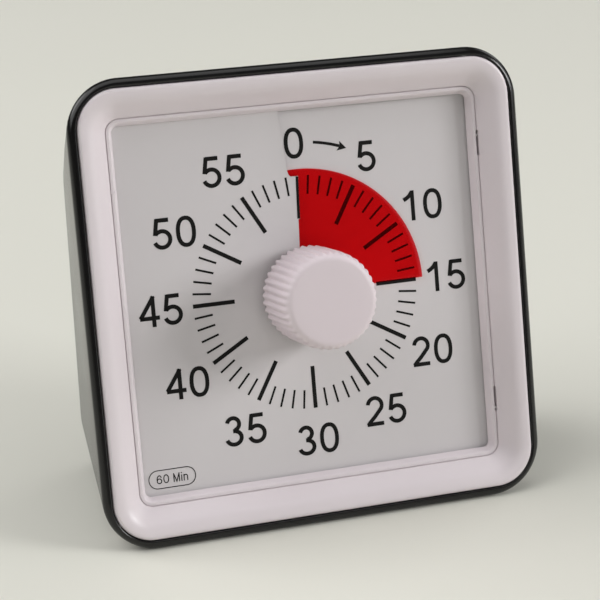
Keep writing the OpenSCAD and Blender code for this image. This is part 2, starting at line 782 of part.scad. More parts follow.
module cell_frame() stand_frame() translate([0, cell_y, cell_z]) rotate([0, 90, 0]) children();

module battery() color("#3a6ea5") cell_frame() {
    translate([0, 0, cell_start]) cylinder(r = cell_r, h = cell_len);
    translate([0, 0, cell_end]) cylinder(r = 2.7, h = trough_half - contact_t - cell_end);
}

module battery_contact() color("#c9ccd0") cell_frame()
    translate([-5, -5, trough_half - contact_t]) cube([10, 10, contact_t]);

// ---- wires and springs ----

function unit(v) = v / norm(v);
function blend(a, b, c, d, t) =
    0.5 * (2 * b + (c - a) * t + (2 * a - 5 * b + 4 * c - d) * t * t + (3 * b - a - 3 * c + d) * t * t * t);
// Smooth curve through the points of a route
function smooth_route(p, steps) =
    let (n = len(p) - 1)
    concat([for (i = [0:n - 1], k = [0:steps - 1])
        blend(p[max(i - 1, 0)], p[i], p[i + 1], p[min(i + 2, n)], k / steps)], [p[n]]);

// Round bar swept along points
module tube(p, r, sides) {
    n = len(p) - 1;
    rings = [for (i = [0:n])
        let (t = unit(p[min(i + 1, n)] - p[max(i - 1, 0)]),
             u = unit(cross(t, [0.31, 0.47, 0.83])), v = cross(t, u))
        [for (k = [0:sides - 1]) p[i] + r * (cos(360 * k / sides) * v + sin(360 * k / sides) * u)]];
    ring_stack(rings);
}

module battery_spring() color("#c9ccd0") cell_frame() {
    turns = 3;
    steps = 14;
    first = -trough_half + contact_t + 0.35;
    rise = cell_start - 0.35 - first;
    tube([for (k = [0:turns * steps]) let (q = k / (turns * steps), a = 360 * turns * q)
        [(5 - 2.2 * q) * cos(a), (5 - 2.2 * q) * sin(a), first + rise * q]], 0.35, 6);
    translate([-5, -5, -trough_half]) cube([10, 10, contact_t]);
}

battery_route = [[27.5, -19.8, -13.9], [30.2, -19.8, -13.3], [30.5, -20.4, -10], [28.6, -21, -7.4],
    [24.6, -21.4, -6.7], [22.4, -21.5, -6.35]];
buzzer_route = [[16, -7.6, -17.4], [20, -9, -15.6], [25, -12, -13.3], [26.3, -14.4, -10.5],
    [25.4, -16.6, -7.7], [23, -18.4, -6.6], [21.4, -19, -6.3]];
switch_route = [[-16, -4.6, -16.2], [-20, -8, -15.2], [-25, -12, -13.3], [-26.3, -14.4, -10.5],
    [-25.4, -16.6, -7.7], [-23, -18.4, -6.6], [-21.4, -19, -6.3]];
coil_route = [[-16.2, -8.6, -6.5], [-14.8, -10.8, -5.6], [-12.8, -13, -5.3], [-12, -15.4, -5.4],
    [-12, -16.7, -6.3], [-12, -18, -6.5], [-12, -19.2, -6.2]];

module wire(route, r, shift) tube([for (p = smooth_route(route, 4)) p + shift], r, 8);

module battery_wires() color("#a82020") face_frame() {
    wire(battery_route, battery_wire_r, [0, 0, 0]);
    mirror([1, 0, 0]) wire(battery_route, battery_wire_r, [0, 0, 0]);
}

module buzzer_wires() color("#b0342a") face_frame() wire(buzzer_route, 0.35, [0, 0, 0]);

module switch_wires() color("#2a4f9a") face_frame() wire(switch_route, 0.35, [0, 0, 0]);

module coil_wires() color("#b4632f") face_frame()
    for (x = [0, 1.2]) wire(coil_route, 0.22, [x, 0, 0]);

module battery_cover() color("#161616") stand_frame()
    translate([0, back_reach - cover_t, cover_z]) rotate([-90, 0, 0]) {
        round_box(cover_w, cover_h, cover_t, 1.8);
        // Inner rim that guides the cover into its opening
        translate([0, 0, -1.6]) difference() {
            round_box(cover_w - 2.6, 2 * cell_r - 0.3, 1.6, 1);
            translate([0, 0, -cut]) round_box(cover_w - 5, 2 * cell_r - 2.7, 3, 0.6);
        }
    }

front_bezel();
rear_case();
dial_plate();
dial_sheet();
red_film();
film_hub();
knob();
knob_shaft();
clutch_spring();
alarm_cam();
output_wheel();
third_wheel();
seconds_wheel();
intermediate_wheel();
rotor();
rotor_magnet();
stator();
coil_bobbin();
coil_core();
coil_winding();
movement_base();
movement_cover();
movement_screws();
circuit_board();
control_chip();
quartz_crystal();
alarm_contact();
buzzer();
switch_body();
sound_slider();
battery();
battery_spring();
battery_contact();
battery_cover();
case_screws();
board_screws();
battery_wires();
buzzer_wires();
switch_wires();
coil_wires();
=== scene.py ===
"""Looks for the square desk timer: smooth shells, printed dial, see-through film, floor, light and camera.

Two frames are used, both in millimetres and both starting where the knob's axis crosses the dial.
Face frame: x right, y up the dial, z out of the dial. Stand frame: x right, y to the back, z up.
"""

import json
import math

import bmesh
import bpy
from mathutils import Matrix, Vector


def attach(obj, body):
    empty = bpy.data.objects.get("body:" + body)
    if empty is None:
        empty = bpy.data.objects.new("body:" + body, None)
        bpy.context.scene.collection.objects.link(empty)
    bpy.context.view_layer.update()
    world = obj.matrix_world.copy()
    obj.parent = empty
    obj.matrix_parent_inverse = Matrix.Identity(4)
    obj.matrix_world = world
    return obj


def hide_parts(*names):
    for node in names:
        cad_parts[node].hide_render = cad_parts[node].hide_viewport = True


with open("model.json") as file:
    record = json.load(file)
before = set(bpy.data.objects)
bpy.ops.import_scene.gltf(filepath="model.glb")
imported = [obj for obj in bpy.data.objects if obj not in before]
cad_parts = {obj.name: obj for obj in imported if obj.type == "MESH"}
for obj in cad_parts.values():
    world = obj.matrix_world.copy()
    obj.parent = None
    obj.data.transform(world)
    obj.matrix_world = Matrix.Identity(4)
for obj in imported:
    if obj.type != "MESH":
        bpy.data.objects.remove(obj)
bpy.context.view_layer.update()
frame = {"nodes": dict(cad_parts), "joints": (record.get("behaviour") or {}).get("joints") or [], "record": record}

# ---- frames ----

knob_joint = next(j for j in frame["joints"] if j["name"] == "knob_turn")
ORIGIN = Vector(knob_joint["pos_m"])
OUT = -Vector(knob_joint["axis"])
RIGHT = Vector((1, 0, 0))
UP = OUT.cross(RIGHT)
LEAN = math.atan2(OUT.z, -OUT.y)


def face(x, y, z):
    return ORIGIN + (x * RIGHT + y * UP + z * OUT) * 0.001


def stand(x, y, z):
    return ORIGIN + Vector((x, y, z)) * 0.001


def stand_flat(x, z, y):
    """A flat outline on the back wall: x right, z up, then the depth."""
    return stand(x, y, z)


# ---- sizes, in millimetres ----

STAND_H = ORIGIN.z * 1000
RIM_HALF = 39.1
CORNER_C = 30.1
MOUTH_C = 30.8
CORNER_R = RIM_HALF - CORNER_C
BEAD_R = 1.4
BEAD_Z = 3.5
MOUTH_HALF = RIM_HALF - BEAD_R
LEDGE_Z = -2
BACK_REACH = 20.5
DRAFT = math.radians(5.7)
WALL = 2
EDGE_DEPTH = 4
EDGE_WIDTH = 2.2
BACK_HIGH_R = 16
BACK_LOW_R = 10

WINDOW_HALF = 31.1
STEP_HALF = 32.3
BEZEL_HALF = 37.5
SHEET_HALF = 31.8
SHEET_T = 0.2
SHEET_RISE = 0.6
HUB_HOLE_R = 4.6
FILM_R = 21.1
FILM_T = 0.12
FILM_RISE = 1.0
REST_ANGLE = 90

KNOB_R = 8.3
KNOB_GAP = 1.8
KNOB_TOP = 14.5
KNOB_RIDGES = 40
SHAFT_R = 2.5
SHAFT_TOP = 12

TICK_R = 20
NUMERAL_R = 25.48
NUMERAL_H = 5.2
STROKE = 0.7


# ---- mesh helpers ----


def new_piece(name, points, faces, sharp=35):
    mesh = bpy.data.meshes.new(name)
    mesh.from_pydata([tuple(p) for p in points], [], faces)
    work = bmesh.new()
    work.from_mesh(mesh)
    bmesh.ops.recalc_face_normals(work, faces=work.faces)
    work.to_mesh(mesh)
    work.free()
    obj = bpy.data.objects.new(name, mesh)
    bpy.context.scene.collection.objects.link(obj)
    shade(obj, sharp)
    return obj


def shade(obj, sharp=35):
    for polygon in obj.data.polygons:
        polygon.use_smooth = True
    obj.data.set_sharp_from_angle(angle=math.radians(sharp))


def stack(rings, closed=False):
    """Faces through rings with the same number of points each, capped unless the stack closes on itself."""
    n = len(rings[0])
    last = len(rings)
    faces = []
    for k in range(last if closed else last - 1):
        a, b = k * n, (k + 1) % last * n
        for i in range(n):
            j = (i + 1) % n
            faces.append((a + i, a + j, b + j, b + i))
    if not closed:
        faces.append(tuple(range(n))[::-1])
        faces.append(tuple((last - 1) * n + i for i in range(n)))
    return [p for ring in rings for p in ring], faces


def prism(name, outline, low, high, place=face):
    return new_piece(name, *stack([[place(x, y, z) for x, y in outline] for z in (low, high)]))


def circle(cx, cy, r, n=48):
    return [(cx + r * math.cos(math.tau * k / n), cy + r * math.sin(math.tau * k / n)) for k in range(n)]


def round_box(cx, cy, w, h, r, n=8):
    points = []
    for sx, sy, start in ((1, 1, 0), (-1, 1, 90), (-1, -1, 180), (1, -1, 270)):
        for k in range(n + 1):
            a = math.radians(start + 90 * k / n)
            points.append((cx + sx * (w / 2 - r) + r * math.cos(a), cy + sy * (h / 2 - r) + r * math.sin(a)))
    return points


def combine(target, tool, operation):
    """Joins, cuts or intersects the target with the tool, and removes the tool."""
    modifier = target.modifiers.new("combine", "BOOLEAN")
    modifier.object = tool
    modifier.operation = operation
    modifier.solver = "EXACT"
    bpy.context.view_layer.update()
    done = bpy.data.meshes.new_from_object(target.evaluated_get(bpy.context.evaluated_depsgraph_get()))
    target.modifiers.clear()
    target.data = done
    bpy.data.objects.remove(tool)
    return target


def smooth_line(points, steps=6):
    """A smooth curve through the points, which runs straight on at both ends."""
    line = []
    last = len(points) - 1
    for i in range(last):
        a, b, c, d = (Vector(points[min(max(k, 0), last)]) for k in (i - 1, i, i + 1, i + 2))
        for k in range(steps):
            t = k / steps
            bend = (2 * a - 5 * b + 4 * c - d) * t**2 + (3 * b - a - 3 * c + d) * t**3
            line.append(0.5 * (2 * b + (c - a) * t + bend))
    return line + [Vector(points[last])]


# ---- rim: squares with round corners, centred near each other ----

CORNERS = ((1, 1, 0), (-1, 1, 90), (-1, -1, 180), (1, -1, 270))


def rim_path(centre, corner_steps=20, side_steps=14):
    """Places round the rim as (x, y, direction x, direction y), for one place of the corners' centres."""
    path = []
    for sx, sy, start in CORNERS:
        for k in range(corner_steps + 1):
            a = math.radians(start + 90 * k / corner_steps)
            path.append((sx * centre, sy * centre, math.cos(a), math.sin(a)))
        end = math.radians(start + 90)
        for k in range(1, side_steps):
            slide = 2 * centre * k / side_steps
            path.append((sx * centre - math.sin(end) * slide, sy * centre + math.cos(end) * slide,
                         math.cos(end), math.sin(end)))
    return path


def rim_ring(half, z):
    """Ring of the bezel, whose corners grow a little tighter from the window step outwards."""
    share = min(1, max(0, (half - STEP_HALF) / (BEZEL_HALF - STEP_HALF)))
    centre = CORNER_C + share * (MOUTH_C - CORNER_C)
    r = half - centre
    return [face(x + r * dx, y + r * dy, z) for x, y, dx, dy in rim_path(centre)]


def sweep_rim(name, section, sharp=35):
    return new_piece(name, *stack([rim_ring(half, z) for half, z in section], closed=True), sharp=sharp)


# ---- front bezel ----

BEZEL_LOW_Z = 0.42
SLOT_X = 32.4
SLOT_Y = 22.5
SLOT_W = 0.42
SLOT_LEN = 4.4
RIB_X = -32.12
RIB_Y = 20.6
CLIP_W = 0.4
CLIP_LEN = 0.36


def build_bezel():
    # Sections are (half width, height): the window's wall, its ledge and the groove round the ledge
    window = [(WINDOW_HALF, BEZEL_LOW_Z), (WINDOW_HALF + 0.04, 0.52), (31.3, 0.95), (31.54, 1.5),
              (31.66, 1.76), (31.76, 1.88), (31.88, 1.93), (32.1, 1.94), (32.3, 1.94), (32.34, 1.66),
              (32.44, 1.66), (32.48, 1.96)]
    # The face slopes up from the ledge and rounds over to a level crest
    slope = smooth_line([(32.53, 2.04), (33.1, 2.63), (33.8, 3.32), (34.5, 3.98), (35.1, 4.44), (35.7, 4.74),
                         (36.3, 4.91), (36.85, 4.97), (37.2, 4.9), (37.42, 4.7), (BEZEL_HALF, 4.4)], 4)
    # A hollow behind the face, between the outer and the inner wall
    back = [(BEZEL_HALF, LEDGE_Z), (36.3, LEDGE_Z), (36.3, 2.4), (35, 1.6), (35, LEDGE_Z), (33.8, LEDGE_Z),
            (33.8, BEZEL_LOW_Z)]
    piece = sweep_rim("bezel_frame", window + [tuple(p) for p in slope] + back, sharp=28)
    for side in (-1, 1):
        slot = round_box(SLOT_X, side * SLOT_Y, SLOT_W, SLOT_LEN, 0.14, 3)
        combine(piece, prism("slot_cut", slot, 0.2, 5), "DIFFERENCE")
    rib = round_box(RIB_X, RIB_Y, 0.8, 0.5, 0.12, 3)
    combine(piece, prism("rib", rib, 1.5, 2.16), "UNION")
    shade(piece, 28)
    return piece


def build_clips():
    """Ends of the dial plate's clips, seen down in the bezel's slots."""
    points, faces = [], []
    for y in (SLOT_Y + 1.35, -SLOT_Y - 1.6):
        outline = round_box(SLOT_X, y, CLIP_W, CLIP_LEN, 0.1, 2)
        ring_points, ring_faces = stack([[face(x, v, z) for x, v in outline] for z in (0.1, 1.6)])
        faces += [tuple(len(points) + i for i in f) for f in ring_faces]
        points += ring_points
    return new_piece("clip_ends", points, faces)


# ---- rear case ----


def back_z(y, inset):
    return (y * math.sin(LEAN) - (BACK_REACH - inset)) / math.cos(LEAN)


def shell_ring(s, inset, trim, lift, corner_steps=16, side_steps=10):
    """Ring whose plane swings from the rim (s = 0) to the upright back wall (s = 1)."""
    level = (1 - s) * BEAD_Z - s * (BACK_REACH - inset) / math.cos(LEAN) + lift
    swing = math.cos(LEAN) + s * math.sin(LEAN) * math.tan(LEAN)
    low = -(STAND_H - inset + math.sin(LEAN) * level) / swing + trim

    def depth(y):
        return (1 - s) * BEAD_Z + s * back_z(y, inset) + lift

    def half(y):
        return RIM_HALF - inset - math.tan(DRAFT) * (BEAD_Z - depth(y))

    high = half(RIM_HALF) - trim
    ring = []
    for sx, sy, start in CORNERS:
        back_r = BACK_HIGH_R if sy > 0 else BACK_LOW_R
        r = CORNER_R + s * (back_r - CORNER_R) - 0.8 * inset - 0.6 * trim
        for k in range(corner_steps + 1):
            a = math.radians(start + 90 * k / corner_steps)
            y = (high - r if sy > 0 else low + r) + r * math.sin(a)
            ring.append(Vector((sx * (half(y) - trim - r) + r * math.cos(a), y, depth(y))))
    full = []
    for q in range(4):
        part = ring[q * (corner_steps + 1):(q + 1) * (corner_steps + 1)]
        after = ring[(q + 1) * (corner_steps + 1) % len(ring)]
        full += part + [part[-1].lerp(after, k / side_steps) for k in range(1, side_steps)]
    return [face(*p) for p in full]


def bead_ring(half, z, centre=CORNER_C, corner_steps=16, side_steps=10):
    r = half - centre
    path = rim_path(centre, corner_steps, side_steps)
    return [face(x + r * dx, y + r * dy, z) for x, y, dx, dy in path]


def back_edge(inset, width, depth, steps):
    turns = [math.radians(90 * k / steps) for k in range(steps + 1)]
    return [shell_ring(1, inset, width * (1 - math.cos(a)), depth * (1 - math.sin(a))) for a in turns]


def trough(name, r, half, cell_y, cell_z, n=40):
    """Trough for the battery: round at the front and open to the back wall."""
    back = BACK_REACH - WALL / 2
    front = [math.pi / 2 + math.pi * k / n for k in range(n + 1)]
    outline = [(cell_y + r * math.cos(a), cell_z + r * math.sin(a)) for a in front]
    outline += [(back, cell_z - r), (back, cell_z + r)]
    return new_piece(name, *stack([[stand(x, y, z) for y, z in outline] for x in (-half, half)]))


CELL_Y = 10.9
CELL_Z = -26.6
TROUGH_R = 7.4
TROUGH_HALF = 27.6
TROUGH_WALL = 1.2
COVER_W = 57.5
COVER_H = 15.8
COVER_T = 1.1
COVER_GAP = 0.5
BACK_PART_Z = -8
SLIDER_X = -16
SOUND_X = 16
SOUND_RING_R = 3.4
SOUND_HOLE_R = 0.7
POST_R = 2.9
SCREW_WELL_R = 2.15
SCREW_HOLE_R = 1.2
CELL_R = 7
SCREW_PLACES = [(x, y) for x in (-30.5, 30.5) for y in (-9, 27)]


def build_case():
    turns = [math.radians(90 - 7.5 * k) for k in range(12)]
    bead = [bead_ring(MOUTH_HALF + BEAD_R * math.cos(a), BEAD_Z + BEAD_R * math.sin(a)) for a in turns]
    walls = [shell_ring(s, 0, 0, 0) for s in (0, 0.1, 0.2, 0.3, 0.45)]
    outer = stack(bead + walls + back_edge(0, EDGE_WIDTH, EDGE_DEPTH, 10))
    hollow = stack([shell_ring(s, WALL, 0, 0) for s in (0, 0.45)] + back_edge(WALL, 1, 2, 4))
    case = new_piece("case_shell", *outer)
    combine(case, new_piece("hollow", *hollow), "DIFFERENCE")

    # Screw posts and battery trough, trimmed to the outer skin
    for x, y in SCREW_PLACES:
        post = prism("post", circle(x, y, POST_R), -30, -6)
        combine(case, combine(post, new_piece("skin", *outer), "INTERSECT"), "UNION")
    body = trough("trough", TROUGH_R + TROUGH_WALL, TROUGH_HALF + TROUGH_WALL, CELL_Y, CELL_Z)
    combine(case, combine(body, new_piece("skin", *outer), "INTERSECT"), "UNION")

    # Mouth for the bezel, with a soft inner edge
    mouth = [(37.6, LEDGE_Z), (37.6, 4.5), (37.64, 4.68), (37.74, 4.8), (37.9, 4.88), (38.1, 5.8)]
    cutter = new_piece("mouth", *stack([bead_ring(half, z, MOUTH_C) for half, z in mouth]))
    combine(case, cutter, "DIFFERENCE")
    combine(case, trough("cell_room", TROUGH_R, TROUGH_HALF, CELL_Y, CELL_Z), "DIFFERENCE")
    for x, y in SCREW_PLACES:
        combine(case, prism("well", circle(x, y, SCREW_WELL_R), -40, -9.5), "DIFFERENCE")
        combine(case, prism("screw_hole", circle(x, y, SCREW_HOLE_R, 24), -10, 0.5), "DIFFERENCE")

    # Openings in the upright back wall
    inner, outside = BACK_REACH - WALL - 0.5, BACK_REACH + 0.5
    opening = round_box(0, CELL_Z, COVER_W - 2, 2 * CELL_R + 0.3, 1)
    combine(case, prism("opening", opening, inner, outside, stand_flat), "DIFFERENCE")
    recess = round_box(0, CELL_Z, COVER_W + COVER_GAP, COVER_H + COVER_GAP, 2)
    recess_floor = BACK_REACH - COVER_T - 0.1
    combine(case, prism("recess", recess, recess_floor, outside, stand_flat), "DIFFERENCE")
    slot = round_box(SLIDER_X, BACK_PART_Z, 8, 3, 0.3, 3)
    combine(case, prism("slider_slot", slot, inner, outside, stand_flat), "DIFFERENCE")
    for x, z in [(SOUND_X, BACK_PART_Z)] + circle(SOUND_X, BACK_PART_Z, SOUND_RING_R, 6):
        hole = circle(x, z, SOUND_HOLE_R, 24)
        combine(case, prism("sound_hole", hole, inner, outside, stand_flat), "DIFFERENCE")
    shade(case, 30)
    return case


# ---- dial sheet: one spiral turn, with a slit that jogs aside past the tick ring ----

SLIT = ((0, -1.0), (8, -0.62), (12.64, -0.44), (12.72, -0.13), (19.95, 0.15), (19.97, -0.6), (20.0, -1.0),
        (20.12, -1.32), (20.38, -1.53), (20.85, -1.69), (21.35, -1.78), (32, -2.6))
SLIT_GAP = 0.12


def slit_x(r):
    for (r0, x0), (r1, x1) in zip(SLIT, SLIT[1:]):
        if r <= r1:
            return x0 + (x1 - x0) * (r - r0) / (r1 - r0)
    return SLIT[-1][1]


def slit_angle(r):
    return math.degrees(math.asin(slit_x(r) / r))


def square_reach(a, half):
    return half / max(abs(math.sin(math.radians(a))), abs(math.cos(math.radians(a))))


def sheet_middle(a):
    return SHEET_RISE * (a / 360 - 0.5)


def curl(r, a):
    """How far the sheet curls up along the upper side of its slit."""
    from_edge = math.radians(360 + slit_angle(r) - a) * r
    return 0.12 * max(0, 1 - from_edge / 1.6) ** 2


def sheet_top(x, y):
    """Height of the sheet's printed side."""
    r = max(math.hypot(x, y), 1)
    a = math.degrees(math.atan2(x, y))
    if a < slit_angle(r):
        a += 360
    return sheet_middle(a) + curl(r, a) + SHEET_T / 2


def build_sheet():
    radii = [HUB_HOLE_R, 6, 8, 10, 12.64, 12.72, 14.5, 17, 19, 19.95, 19.97, 20.0, 20.05, 20.12, 20.24, 20.38,
             20.6, 20.85, 21.35, 23, 25, 27]
    outer = 6
    columns = 180
    rings = []
    for side in (1, -1):
        for k in range(len(radii) + outer):
            ring = []
            for c in range(columns + 1):
                share = c / columns
                r = radii[min(k, len(radii) - 1)]
                for _ in range(2):
                    first = slit_angle(r) + math.degrees(SLIT_GAP / r)
                    a = first + share * (360 + slit_angle(r) - first)
                    if k >= len(radii):
                        edge = square_reach(a, SHEET_HALF)
                        r = radii[-1] + (edge - radii[-1]) * (k - len(radii) + 1) / outer
                t = math.radians(a)
                height = sheet_middle(a) + curl(r, a) + side * SHEET_T / 2
                ring.append(face(r * math.sin(t), r * math.cos(t), height))
            rings.append(ring)
    n, m = columns + 1, len(radii) + outer
    faces = []
    for k in range(m - 1):
        for c in range(columns):
            a, b = k * n + c, (k + 1) * n + c
            faces.append((a, b, b + 1, a + 1))
            faces.append(tuple(i + m * n for i in (a, a + 1, b + 1, b)))
    for k in (0, m - 1):
        for c in range(columns):
            a = k * n + c
            faces.append((a, a + 1, a + 1 + m * n, a + m * n))
    for c in (0, columns):
        for k in range(m - 1):
            a, b = k * n + c, (k + 1) * n + c
            faces.append((a, b, b + m * n, a + m * n))
    return new_piece("dial_card_sheet", [p for ring in rings for p in ring], faces)


# ---- print on the sheet ----


class Print:
    """Ink laid on the sheet as thin closed strips that follow its height."""

    def __init__(self):
        self.points = []
        self.faces = []

    def strip(self, line, width, closed=False):
        """A strip of constant width along a flat line, with square ends."""
        line = [Vector(p) for p in line]
        n = len(line)
        rows = []
        for i, p in enumerate(line):
            before = line[i - 1] if closed or i > 0 else None
            after = line[(i + 1) % n] if closed or i < n - 1 else None
            ways = [(p - before).normalized() if before is not None else None,
                    (after - p).normalized() if after is not None else None]
            ways = [w for w in ways if w is not None]
            sides = [Vector((-w.y, w.x)) for w in ways]
            side = sum(sides, Vector((0, 0))).normalized()
            reach = width / 2 / max(side.dot(sides[0]), 0.35)
            rows.append((p - side * reach, p + side * reach))
        base = len(self.points)
        for a, b in rows:
            for q in (a, b):
                top = sheet_top(q.x, q.y)
                self.points += [face(q.x, q.y, top - 0.02), face(q.x, q.y, top + 0.025)]
        count = n if closed else n - 1
        for i in range(count):
            a, b = base + 4 * i, base + 4 * ((i + 1) % n)
            self.faces += [(a + 1, b + 1, b + 3, a + 3), (a, a + 2, b + 2, b), (a, b, b + 1, a + 1),
                           (a + 2, a + 3, b + 3, b + 2)]
        if not closed:
            end = base + 4 * (n - 1)
            self.faces += [(base, base + 1, base + 3, base + 2), (end, end + 2, end + 3, end + 1)]

    def patch(self, outline):
        """A filled flat outline."""
        base = len(self.points)
        n = len(outline)
        for x, y in outline:
            top = sheet_top(x, y)
            self.points += [face(x, y, top - 0.02), face(x, y, top + 0.025)]
        self.faces.append(tuple(base + 2 * i + 1 for i in range(n)))
        self.faces.append(tuple(base + 2 * i for i in reversed(range(n))))
        for i in range(n):
            a, b = base + 2 * i, base + 2 * ((i + 1) % n)
            self.faces.append((a, b, b + 1, a + 1))

    def piece(self, name):
        return new_piece(name, self.points, self.faces)


def arc(cx, cy, rx, ry, first, last, squareness=2.0, steps=28):
    """Part of a rounded oval, in degrees anticlockwise from the right."""
    line = []
    for k in range(steps + 1):
        a = math.radians(first + (last - first) * k / steps)
        c, s = math.cos(a), math.sin(a)
        line.append((cx + rx * math.copysign(abs(c) ** (2 / squareness), c),
                     cy + ry * math.copysign(abs(s) ** (2 / squareness), s)))
    return line


def glyph(sign):
    """Strokes of a plain upright sign, one unit high, and the width it takes."""
    half = 0.0625
    low, high = half, 1 - half
    strokes = {
        "0": [(arc(0.39, 0.5, 0.262, 0.5 - half, 0, 360, 2.3)[:-1], True)],
        "1": [([(0.47, 0), (0.47, 1)], False),
              ([(0.46, 0.95), (0.37, 0.83), (0.27, 0.755), (0.16, 0.7)], False)],
        "2": [(arc(0.385, 0.69, 0.245, high - 0.69, 172, -28) + [(0.36, 0.3), (0.2, 0.15), (0.115, 0.045)],
               False),
              ([(0.08, low), (0.67, low)], False)],
        "3": [(arc(0.37, 0.735, 0.205, high - 0.735, 165, -80), False),
              (arc(0.375, 0.285, 0.25, 0.285 - half, 95, -165), False)],
        "4": [([(0.555, 0.99), (0.5, 0.9), (0.11, 0.33), (0.09, 0.3)], False),
              ([(0.07, 0.29), (0.72, 0.29)], False),
              ([(0.525, 0), (0.525, 1)], False)],
        "5": [([(0.205, high), (0.62, high)], False), ([(0.235, 0.99), (0.15, 0.46)], False),
              (arc(0.375, 0.325, 0.262, 0.325 - half, 143, -160), False)],
        "6": [(arc(0.39, 0.32, 0.25, 0.32 - half, 0, 360)[:-1], True),
              (arc(0.40, 0.47, 0.262, high - 0.47, 30, 190), False)],
        "M": [([(0.13, 0), (0.13, 1)], False),
              ([(0.13, 0.96), (0.44, 0.05), (0.75, 0.96)], False),
              ([(0.75, 0), (0.75, 1)], False)],
        "i": [([(0.14, 0), (0.14, 0.72)], False), ([(0.14, 0.87), (0.14, 1)], False)],
        "n": [([(0.13, 0), (0.13, 0.72)], False),
              (arc(0.325, 0.46, 0.195, 0.2, 175, 0, 2.4) + [(0.52, 0)], False)],
        " ": [],
    }
    widths = {"M": 0.88, "i": 0.28, "n": 0.66, " ": 0.36}
    return strokes[sign], widths.get(sign, 0.78)


def write(ink, text, cx, cy, height, stroke):
    """A line of signs centred on a place of the dial."""
    x = cx - sum(glyph(sign)[1] for sign in text) * height / 2
    for sign in text:
        strokes, width = glyph(sign)
        for line, closed in strokes:
            ink.strip([(x + u * height, cy + (v - 0.5) * height) for u, v in line], stroke, closed)
        x += width * height


def polar(r, minute):
    a = math.radians(6 * minute)
    return r * math.sin(a), r * math.cos(a)


def build_print():
    ink = Print()
    for minute in range(60):
        long = minute % 5 == 0
        inner, width = (12.72, 0.7) if long else (16.8, 0.35)
        if minute == 0:
            # The first tick is printed along the upper edge of the slit
            ink.strip([(slit_x(r) - 0.24, r) for r in (12.75, 14, 16, 18, 19.9)], 0.46)
        else:
            ink.strip([polar(r, minute) for r in (inner, (inner + TICK_R) / 2, TICK_R)], width)
    for minute in range(0, 60, 5):
        write(ink, str(minute), *polar(NUMERAL_R, minute), NUMERAL_H, STROKE)

    # Arrow that points clockwise from 0
    shaft = [polar(25.55, m / 6) for m in (7.7, 10, 12.5, 15, 18.4)]
    ink.strip(shaft, 0.5)
    ink.patch([polar(25.5, 21.3 / 6), polar(26.35, 17.9 / 6), polar(25.55, 18.5 / 6), polar(24.65, 17.7 / 6)])

    # Plain rounded label with the dial's range
    ink.strip(round_box(-26.2, -28.45, 8.1, 3.1, 1.54, 12), 0.15, closed=True)
    write(ink, "60 Min", -26.2, -28.45, 1.52, 0.17)
    return ink.piece("dial_print")


# ---- film ----


def build_film():
    lead = REST_ANGLE - 0.8
    steps = 236
    radii = [3.7, 8, 12, 16, 19, 20.6, FILM_R - 0.03, FILM_R]
    points = []
    for side in (1, -1):
        for k in range(steps + 1):
            a = lead - (353.2 * k / steps)
            t = math.radians(a)
            for r in radii:
                points.append(face(r * math.sin(t), r * math.cos(t), FILM_RISE * a / 360 + side * FILM_T / 2))
    n, m = len(radii), steps + 1
    faces = []
    for k in range(steps):
        for i in range(n - 1):
            a, b = k * n + i, (k + 1) * n + i
            faces += [(a, b, b + 1, a + 1), tuple(q + m * n for q in (a, a + 1, b + 1, b))]
        for i in (0, n - 1):
            a, b = k * n + i, (k + 1) * n + i
            faces.append((a, b, b + m * n, a + m * n))
    for k in (0, steps):
        for i in range(n - 1):
            a = k * n + i
            faces.append((a, a + 1, a + 1 + m * n, a + m * n))
    return new_piece("film_disc", points, faces)


# ---- knob ----


def ridge(share):
    """Height of a ridge over its groove, from 0 to 1, across one ridge."""
    u = abs(2 * share - 1)
    return 0.5 + 0.5 * math.cos(math.pi * min(1, u ** 1.15))


def build_knob():
    foot_r = KNOB_R - 0.4
    per_ridge = 10
    n = KNOB_RIDGES * per_ridge
    # Outside, from the foot to the front face: radius, height and ridge height
    skin = [(7.55, KNOB_GAP, 0.0), (foot_r - 0.1, 1.85, 0.25), (foot_r, 2.0, 0.4), (foot_r, 4, 0.4),
            (foot_r, 7, 0.4), (foot_r, 10, 0.39), (7.89, 11.6, 0.37), (7.87, 12.5, 0.33), (7.83, 13.1, 0.27),
            (7.74, 13.6, 0.19), (7.6, 13.95, 0.11), (7.42, 14.2, 0.05), (7.2, 14.37, 0.01), (7.0, 14.44, 0.0),
            (6.8, 14.48, 0.0), (6.55, KNOB_TOP, 0.0), (3, KNOB_TOP, 0.0), (0.6, KNOB_TOP, 0.0)]
    # Inside, from the end of the shaft's hole, round its sleeve and up to the outer wall
    inside = [(0.4, SHAFT_TOP + 0.15), (SHAFT_R + 0.06, SHAFT_TOP + 0.1), (SHAFT_R + 0.06, KNOB_GAP + 0.1),
              (SHAFT_R + 1.4, KNOB_GAP + 0.1), (SHAFT_R + 1.5, KNOB_TOP - 2.1), (6.2, KNOB_TOP - 2.1),
              (6.3, 2.0)]
    rings = []
    for r, z, tall in skin + [(r, z, 0) for r, z in inside]:
        ring = []
        for k in range(n):
            a = math.tau * k / n
            reach = r + tall * ridge(k % per_ridge / per_ridge)
            ring.append(face(reach * math.cos(a), reach * math.sin(a), z))
        rings.append(ring)
    front, under = rings[:len(skin)], rings[len(skin):]
    points, faces = stack(under[::-1][:1] + front)
    faces.pop(-2)
    base = len(points)
    more, more_faces = stack(under)
    more_faces.pop()
    faces += [tuple(base + i for i in f) for f in more_faces]
    points += more
    piece = new_piece("knob_cap", points, faces, sharp=50)
    # The lowest inner ring was made twice: once for each part of the skin
    work = bmesh.new()
    work.from_mesh(piece.data)
    bmesh.ops.remove_doubles(work, verts=work.verts, dist=1e-6)
    bmesh.ops.recalc_face_normals(work, faces=work.faces)
    work.to_mesh(piece.data)
    work.free()
    shade(piece, 50)
    return piece


